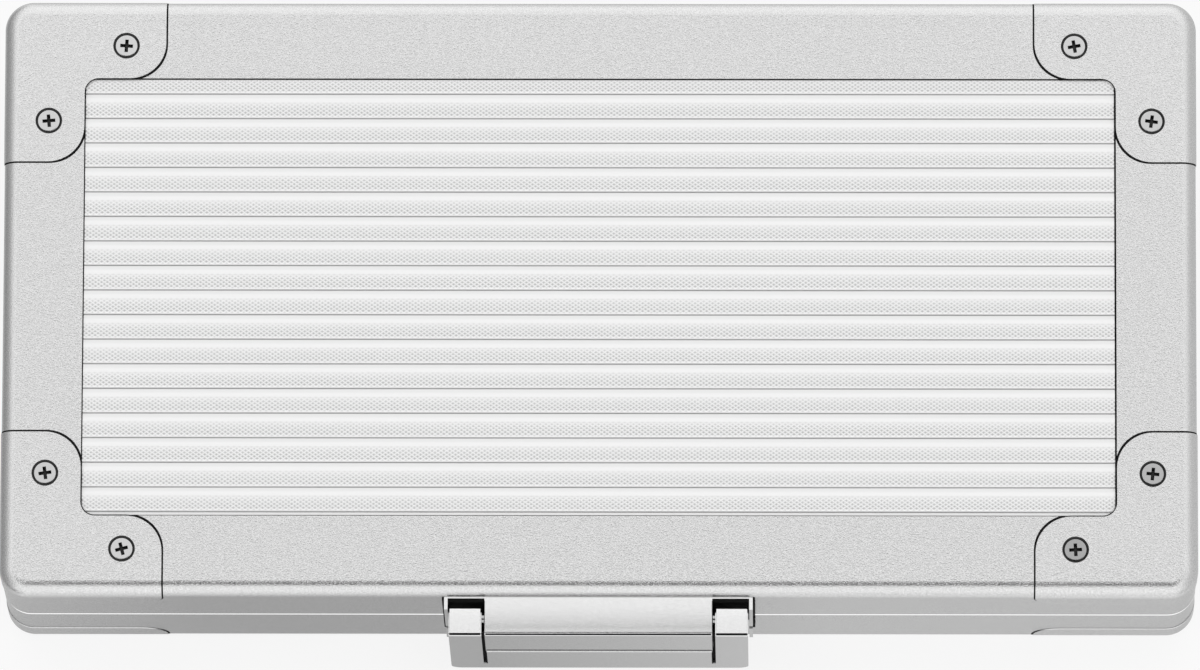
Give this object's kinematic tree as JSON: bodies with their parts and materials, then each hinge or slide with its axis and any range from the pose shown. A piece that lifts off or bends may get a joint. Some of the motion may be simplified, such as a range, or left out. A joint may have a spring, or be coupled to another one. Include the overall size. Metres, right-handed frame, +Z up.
{
  "type": "hard manicure case",
  "caption": "Small hard aluminium case for manicure tools: hinged lid with ribbed panel and corner caps, sprung lever latch in front, recessed tool insert.",
  "frame": {"origin": "middle of the bounding box, on the surface the case stands on", "axes": "+X along the width, the latch faces -Y, the hinges are at +Y, +Z up"},
  "size_m": [0.1702, 0.0959, 0.03],
  "materials": {
    "frame": "fine matt anodised",
    "caps": "fine matt, cast",
    "screws": "bright zinc",
    "gussets": "zinc plated",
    "panel": "bright, ribbed and knurled",
    "backing": "hardboard",
    "lining": "velour",
    "insert": "flocked foam",
    "latch": "satin chrome",
    "axle": "bright steel",
    "spring": "spring steel",
    "rivets": "bright",
    "hinge": "nickel plated"
  },
  "bodies": {
    "base": {"base_frame": "frame", "base_corner_front_left": "caps", "base_corner_front_right": "caps", "base_corner_back_left": "caps", "base_corner_back_right": "caps", "base_corner_screws": "screws", "base_gusset_front_left": "gussets", "base_gusset_front_right": "gussets", "base_gusset_back_left": "gussets", "base_gusset_back_right": "gussets", "base_panel": "panel", "base_backing": "backing", "tool_insert": "insert", "keeper": "latch", "keeper_rivets": "rivets", "hinge_left_base_leaf": "hinge", "hinge_right_base_leaf": "hinge", "hinge_base_rivets": "rivets"},
    "lid": {"lid_frame": "frame", "lid_corner_front_left": "caps", "lid_corner_front_right": "caps", "lid_corner_back_left": "caps", "lid_corner_back_right": "caps", "lid_corner_screws": "screws", "lid_gusset_front_left": "gussets", "lid_gusset_front_right": "gussets", "lid_gusset_back_left": "gussets", "lid_gusset_back_right": "gussets", "lid_panel": "panel", "lid_backing": "backing", "lid_lining": "lining", "latch_bracket": "latch", "latch_hood": "latch", "latch_spring": "spring", "latch_rivets": "rivets", "hinge_left_lid_leaf": "hinge", "hinge_right_lid_leaf": "hinge", "hinge_lid_rivets": "rivets", "hinge_left_pin": "axle", "hinge_right_pin": "axle"},
    "lever": {"latch_lever": "latch", "latch_axle": "axle"}
  },
  "joints": [
    {"name": "lid_hinge", "type": "hinge", "parent": "base", "child": "lid", "pos_m": [0, 0.04565, 0.016], "axis": [-1, 0, 0], "range_deg": [0, 100]},
    {"name": "latch_lever_pivot", "type": "hinge", "parent": "lid", "child": "lever", "pos_m": [0, -0.04525, 0.0263], "axis": [-1, 0, 0], "range_deg": [0, 90], "stiffness_Nm_per_rad": 0.004, "springref_deg": -20.05}
  ]
}
